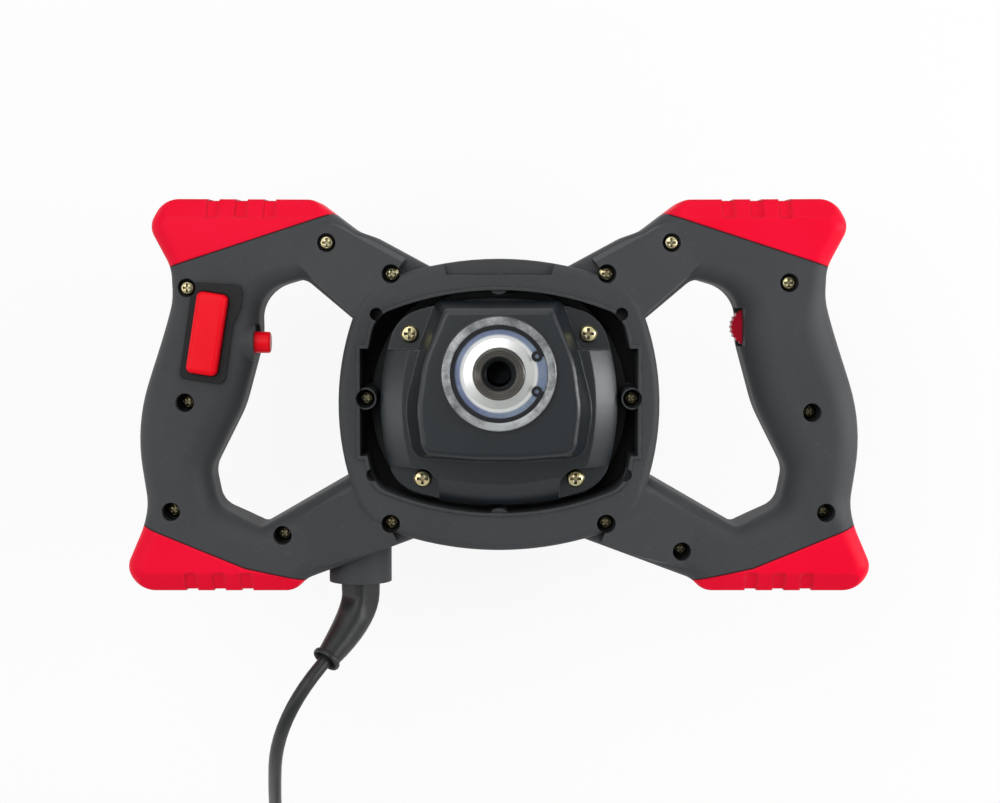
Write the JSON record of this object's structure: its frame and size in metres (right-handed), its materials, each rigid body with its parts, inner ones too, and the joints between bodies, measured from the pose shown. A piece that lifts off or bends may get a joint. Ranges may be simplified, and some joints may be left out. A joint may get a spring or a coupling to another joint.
{
  "type": "mixing drill",
  "caption": "Corded two-handled mixing drill: closed frame with side grips around a geared motor, threaded spindle, paddle trigger with lock, speed dial, corner bumpers.",
  "frame": {"origin": "on the motor axis, in the flat end face of the motor cap that the tool lies on", "axes": "+Z along the motor axis towards the spindle, +X across both grips, +Y towards the upper bumpers"},
  "size_m": [0.3756, 0.5513, 0.2195],
  "materials": {
    "charcoal_plastic": "fine moulded texture, matte",
    "red_rubber": "soft matte",
    "red_plastic": "smooth moulded",
    "dark_casting": "dark grey satin casting",
    "machined_alloy": "turned",
    "steel": "ground",
    "zinc_plate": "blue-white zinc plated",
    "black_spring_steel": "blackened",
    "yellow_zinc": "yellow zinc plated",
    "black_plastic": "matte",
    "cord_rubber": "matte",
    "lamination": "stamped",
    "copper_wire": "enamelled",
    "carbon": "pressed carbon",
    "circuit_board": "lacquered",
    "brass_metal": "stamped"
  },
  "bodies": {
    "frame": {"front_shell": "charcoal_plastic", "rear_shell": "charcoal_plastic", "bumper_upper_left": "red_rubber", "bumper_upper_right": "red_rubber", "bumper_lower_left": "red_rubber", "bumper_lower_right": "red_rubber", "shell_screws": "yellow_zinc", "trigger_switch": "black_plastic", "speed_board": "circuit_board", "cord_boot": "cord_rubber", "cord_clamp": "black_plastic", "cord_clamp_screws": "yellow_zinc", "cord_lead": "cord_rubber", "cord_coil": "cord_rubber", "coil_tie": "black_plastic", "plug_body": "black_plastic", "plug_pins": "brass_metal", "gear_housing": "dark_casting", "gear_plate": "dark_casting", "gear_housing_screws": "yellow_zinc", "spindle_bush": "brass_metal", "spindle_bearing": "steel", "counter_lower_bearing": "steel", "counter_upper_bearing": "steel", "bearing_clip": "black_spring_steel", "dust_washer": "zinc_plate", "motor_can": "charcoal_plastic", "motor_cap": "charcoal_plastic", "motor_cap_screws": "yellow_zinc", "field_core": "lamination", "field_windings": "copper_wire", "armature_front_bearing": "steel", "armature_rear_bearing": "steel", "brush_holders": "brass_metal", "carbon_brushes": "carbon", "brush_springs": "steel", "brush_caps": "black_plastic"},
    "trigger_lever": {"trigger": "red_plastic"},
    "lock": {"lock_button": "red_plastic"},
    "dial": {"speed_dial": "red_plastic"},
    "output": {"spindle": "steel", "spindle_gear": "steel"},
    "counter": {"countershaft": "steel", "counter_wheel": "steel", "counter_pinion": "steel"},
    "rotor": {"armature_shaft": "steel", "armature_core": "lamination", "armature_windings": "copper_wire", "commutator": "copper_wire", "fan": "black_plastic", "motor_pinion": "steel"}
  },
  "joints": [
    {"name": "trigger_press", "type": "slide", "parent": "frame", "child": "trigger_lever", "axis": [0, 0, -1], "range_m": [0, 0.005], "stiffness_N_per_m": 500, "springref_m": -0.006},
    {"name": "lock_press", "type": "slide", "parent": "frame", "child": "lock", "axis": [-1, 0, 0], "range_m": [0, 0.003], "stiffness_N_per_m": 400, "springref_m": -0.004},
    {"name": "speed_turn", "type": "hinge", "parent": "frame", "child": "dial", "pos_m": [0.128, 0.038, 0.147], "axis": [0, 0, 1], "range_deg": [0, 280]},
    {"name": "spindle_spin", "type": "hinge", "parent": "frame", "child": "output", "pos_m": [0, 0.017, 0.2], "axis": [0, 0, 1], "continuous": true},
    {"name": "counter_spin", "type": "hinge", "parent": "frame", "child": "counter", "pos_m": [0.02411, -0.00974, 0.18], "axis": [0, 0, 1], "continuous": true},
    {"name": "rotor_spin", "type": "hinge", "parent": "frame", "child": "rotor", "pos_m": [0, 0, 0.1], "axis": [0, 0, 1], "continuous": true}
  ],
  "couplings": [
    {"joint": "counter_spin", "follows": "spindle_spin", "ratio": -3.3636},
    {"joint": "rotor_spin", "follows": "spindle_spin", "ratio": 14.127}
  ]
}
